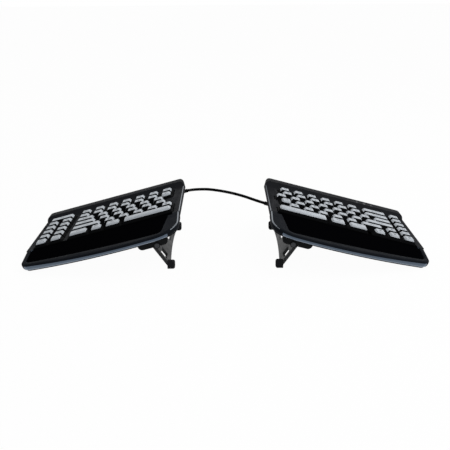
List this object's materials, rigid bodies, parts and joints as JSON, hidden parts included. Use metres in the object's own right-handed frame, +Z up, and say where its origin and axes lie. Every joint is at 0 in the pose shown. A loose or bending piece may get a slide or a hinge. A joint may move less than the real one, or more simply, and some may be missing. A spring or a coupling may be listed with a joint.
{
  "type": "split keyboard",
  "caption": "Split keyboard in two tented halves on fold-out lifters, with sloping palm rests, low key caps and a short link cable between the halves.",
  "frame": {"origin": "on the desk under the middle of the part", "axes": "+X from the left half to the right half, +Y from the user to the back, +Z up"},
  "size_m": [0.496, 0.2158, 0.0687],
  "materials": {
    "case_plastic": "fine texture",
    "tray_plastic": "fine texture",
    "plate_plastic": "plain",
    "dome_rubber": "soft",
    "contact_foil": "smooth",
    "sheet_steel": "plain",
    "palm_plastic": "satin",
    "pad_soft": "soft matte",
    "foot_rubber": "matte",
    "screw_steel": "plain",
    "lifter_plastic": "satin",
    "flap_plastic": "satin",
    "gland_rubber": "matte",
    "board_laminate": "plain",
    "light_pipe_plastic": "clear",
    "cable_jacket": "satin",
    "key_plastic": "satin grey top, dark sides"
  },
  "bodies": {
    "left_half": {"left_top_case": "case_plastic", "left_bottom_case": "tray_plastic", "left_key_plate": "plate_plastic", "left_dome_sheet": "dome_rubber", "left_membrane": "contact_foil", "left_backing_plate": "sheet_steel", "left_palm_rest": "palm_plastic", "left_palm_pad": "pad_soft", "left_outer_feet": "foot_rubber", "left_case_screws": "screw_steel", "left_lifter_base": "lifter_plastic", "left_lifter_pin": "screw_steel", "left_cable_gland": "gland_rubber", "left_host_gland": "gland_rubber", "link_cable": "cable_jacket"},
    "right_half": {"right_top_case": "case_plastic", "right_bottom_case": "tray_plastic", "right_key_plate": "plate_plastic", "right_dome_sheet": "dome_rubber", "right_membrane": "contact_foil", "right_backing_plate": "sheet_steel", "right_palm_rest": "palm_plastic", "right_palm_pad": "pad_soft", "right_outer_feet": "foot_rubber", "right_case_screws": "screw_steel", "right_lifter_base": "lifter_plastic", "right_lifter_pin": "screw_steel", "right_cable_gland": "gland_rubber", "right_controller_board": "board_laminate", "right_light_pipes": "light_pipe_plastic"},
    "left_flap": {"left_lifter_flap": "flap_plastic", "left_lifter_boots": "foot_rubber"},
    "right_flap": {"right_lifter_flap": "flap_plastic", "right_lifter_boots": "foot_rubber"},
    "left_function_keys_caps": {"left_function_keys": "key_plastic"},
    "left_number_keys_caps": {"left_number_keys": "key_plastic"},
    "left_upper_keys_caps": {"left_upper_keys": "key_plastic"},
    "left_home_keys_caps": {"left_home_keys": "key_plastic"},
    "left_lower_keys_caps": {"left_lower_keys": "key_plastic"},
    "left_space_bar_caps": {"left_space_bar": "key_plastic"},
    "left_bottom_keys_caps": {"left_bottom_keys": "key_plastic"},
    "left_shift_key_caps": {"left_shift_key": "key_plastic"},
    "left_tab_key_caps": {"left_tab_key": "key_plastic"},
    "left_caps_key_caps": {"left_caps_key": "key_plastic"},
    "left_hot_keys_caps": {"left_hot_keys": "key_plastic"},
    "right_function_keys_caps": {"right_function_keys": "key_plastic"},
    "right_number_keys_caps": {"right_number_keys": "key_plastic"},
    "right_upper_keys_caps": {"right_upper_keys": "key_plastic"},
    "right_home_keys_caps": {"right_home_keys": "key_plastic"},
    "right_lower_keys_caps": {"right_lower_keys": "key_plastic"},
    "right_space_bar_caps": {"right_space_bar": "key_plastic"},
    "right_bottom_keys_caps": {"right_bottom_keys": "key_plastic"},
    "right_shift_key_caps": {"right_shift_key": "key_plastic"},
    "right_delete_key_caps": {"right_delete_key": "key_plastic"},
    "right_backspace_key_caps": {"right_backspace_key": "key_plastic"},
    "right_enter_key_caps": {"right_enter_key": "key_plastic"},
    "right_arrow_keys_caps": {"right_arrow_keys": "key_plastic"},
    "right_side_keys_caps": {"right_side_keys": "key_plastic"}
  },
  "joints": [
    {"name": "halves_apart", "type": "slide", "parent": "left_half", "child": "right_half", "axis": [1, 0, 0], "range_m": [-0.03, 0.003], "deforming": ["link_cable"]},
    {"name": "left_flap_fold", "type": "hinge", "parent": "left_half", "child": "left_flap", "pos_m": [-0.08134, 0, 0.03226], "axis": [0, 1, 0], "range_deg": [0, 105]},
    {"name": "right_flap_fold", "type": "hinge", "parent": "right_half", "child": "right_flap", "pos_m": [0.08134, 0, 0.03226], "axis": [0, -1, 0], "range_deg": [0, 105]},
    {"name": "left_function_keys_press", "type": "slide", "parent": "left_half", "child": "left_function_keys_caps", "axis": [0.2588, 0, -0.9659], "range_m": [0, 0.0032], "stiffness_N_per_m": 1050, "springref_m": -0.002, "deforming": ["left_dome_sheet"]},
    {"name": "left_number_keys_press", "type": "slide", "parent": "left_half", "child": "left_number_keys_caps", "axis": [0.2588, 0, -0.9659], "range_m": [0, 0.0032], "stiffness_N_per_m": 1050, "springref_m": -0.002, "deforming": ["left_dome_sheet"]},
    {"name": "left_upper_keys_press", "type": "slide", "parent": "left_half", "child": "left_upper_keys_caps", "axis": [0.2588, 0, -0.9659], "range_m": [0, 0.0032], "stiffness_N_per_m": 750, "springref_m": -0.002, "deforming": ["left_dome_sheet"]},
    {"name": "left_home_keys_press", "type": "slide", "parent": "left_half", "child": "left_home_keys_caps", "axis": [0.2588, 0, -0.9659], "range_m": [0, 0.0032], "stiffness_N_per_m": 750, "springref_m": -0.002, "deforming": ["left_dome_sheet"]},
    {"name": "left_lower_keys_press", "type": "slide", "parent": "left_half", "child": "left_lower_keys_caps", "axis": [0.2588, 0, -0.9659], "range_m": [0, 0.0032], "stiffness_N_per_m": 750, "springref_m": -0.002, "deforming": ["left_dome_sheet"]},
    {"name": "left_space_bar_press", "type": "slide", "parent": "left_half", "child": "left_space_bar_caps", "axis": [0.2588, 0, -0.9659], "range_m": [0, 0.0032], "stiffness_N_per_m": 150, "springref_m": -0.002, "deforming": ["left_dome_sheet"]},
    {"name": "left_bottom_keys_press", "type": "slide", "parent": "left_half", "child": "left_bottom_keys_caps", "axis": [0.2588, 0, -0.9659], "range_m": [0, 0.0032], "stiffness_N_per_m": 450, "springref_m": -0.002, "deforming": ["left_dome_sheet"]},
    {"name": "left_shift_key_press", "type": "slide", "parent": "left_half", "child": "left_shift_key_caps", "axis": [0.2588, 0, -0.9659], "range_m": [0, 0.0032], "stiffness_N_per_m": 150, "springref_m": -0.002, "deforming": ["left_dome_sheet"]},
    {"name": "left_tab_key_press", "type": "slide", "parent": "left_half", "child": "left_tab_key_caps", "axis": [0.2588, 0, -0.9659], "range_m": [0, 0.0032], "stiffness_N_per_m": 150, "springref_m": -0.002, "deforming": ["left_dome_sheet"]},
    {"name": "left_caps_key_press", "type": "slide", "parent": "left_half", "child": "left_caps_key_caps", "axis": [0.2588, 0, -0.9659], "range_m": [0, 0.0032], "stiffness_N_per_m": 150, "springref_m": -0.002, "deforming": ["left_dome_sheet"]},
    {"name": "left_hot_keys_press", "type": "slide", "parent": "left_half", "child": "left_hot_keys_caps", "axis": [0.2588, 0, -0.9659], "range_m": [0, 0.0032], "stiffness_N_per_m": 1650, "springref_m": -0.002, "deforming": ["left_dome_sheet"]},
    {"name": "right_function_keys_press", "type": "slide", "parent": "right_half", "child": "right_function_keys_caps", "axis": [-0.2588, 0, -0.9659], "range_m": [0, 0.0032], "stiffness_N_per_m": 900, "springref_m": -0.002, "deforming": ["right_dome_sheet"]},
    {"name": "right_number_keys_press", "type": "slide", "parent": "right_half", "child": "right_number_keys_caps", "axis": [-0.2588, 0, -0.9659], "range_m": [0, 0.0032], "stiffness_N_per_m": 900, "springref_m": -0.002, "deforming": ["right_dome_sheet"]},
    {"name": "right_upper_keys_press", "type": "slide", "parent": "right_half", "child": "right_upper_keys_caps", "axis": [-0.2588, 0, -0.9659], "range_m": [0, 0.0032], "stiffness_N_per_m": 1200, "springref_m": -0.002, "deforming": ["right_dome_sheet"]},
    {"name": "right_home_keys_press", "type": "slide", "parent": "right_half", "child": "right_home_keys_caps", "axis": [-0.2588, 0, -0.9659], "range_m": [0, 0.0032], "stiffness_N_per_m": 900, "springref_m": -0.002, "deforming": ["right_dome_sheet"]},
    {"name": "right_lower_keys_press", "type": "slide", "parent": "right_half", "child": "right_lower_keys_caps", "axis": [-0.2588, 0, -0.9659], "range_m": [0, 0.0032], "stiffness_N_per_m": 750, "springref_m": -0.002, "deforming": ["right_dome_sheet"]},
    {"name": "right_space_bar_press", "type": "slide", "parent": "right_half", "child": "right_space_bar_caps", "axis": [-0.2588, 0, -0.9659], "range_m": [0, 0.0032], "stiffness_N_per_m": 150, "springref_m": -0.002, "deforming": ["right_dome_sheet"]},
    {"name": "right_bottom_keys_press", "type": "slide", "parent": "right_half", "child": "right_bottom_keys_caps", "axis": [-0.2588, 0, -0.9659], "range_m": [0, 0.0032], "stiffness_N_per_m": 300, "springref_m": -0.002, "deforming": ["right_dome_sheet"]},
    {"name": "right_shift_key_press", "type": "slide", "parent": "right_half", "child": "right_shift_key_caps", "axis": [-0.2588, 0, -0.9659], "range_m": [0, 0.0032], "stiffness_N_per_m": 150, "springref_m": -0.002, "deforming": ["right_dome_sheet"]},
    {"name": "right_delete_key_press", "type": "slide", "parent": "right_half", "child": "right_delete_key_caps", "axis": [-0.2588, 0, -0.9659], "range_m": [0, 0.0032], "stiffness_N_per_m": 150, "springref_m": -0.002, "deforming": ["right_dome_sheet"]},
    {"name": "right_backspace_key_press", "type": "slide", "parent": "right_half", "child": "right_backspace_key_caps", "axis": [-0.2588, 0, -0.9659], "range_m": [0, 0.0032], "stiffness_N_per_m": 150, "springref_m": -0.002, "deforming": ["right_dome_sheet"]},
    {"name": "right_enter_key_press", "type": "slide", "parent": "right_half", "child": "right_enter_key_caps", "axis": [-0.2588, 0, -0.9659], "range_m": [0, 0.0032], "stiffness_N_per_m": 150, "springref_m": -0.002, "deforming": ["right_dome_sheet"]},
    {"name": "right_arrow_keys_press", "type": "slide", "parent": "right_half", "child": "right_arrow_keys_caps", "axis": [-0.2588, 0, -0.9659], "range_m": [0, 0.0032], "stiffness_N_per_m": 600, "springref_m": -0.002, "deforming": ["right_dome_sheet"]},
    {"name": "right_side_keys_press", "type": "slide", "parent": "right_half", "child": "right_side_keys_caps", "axis": [-0.2588, 0, -0.9659], "range_m": [0, 0.0032], "stiffness_N_per_m": 750, "springref_m": -0.002, "deforming": ["right_dome_sheet"]}
  ]
}
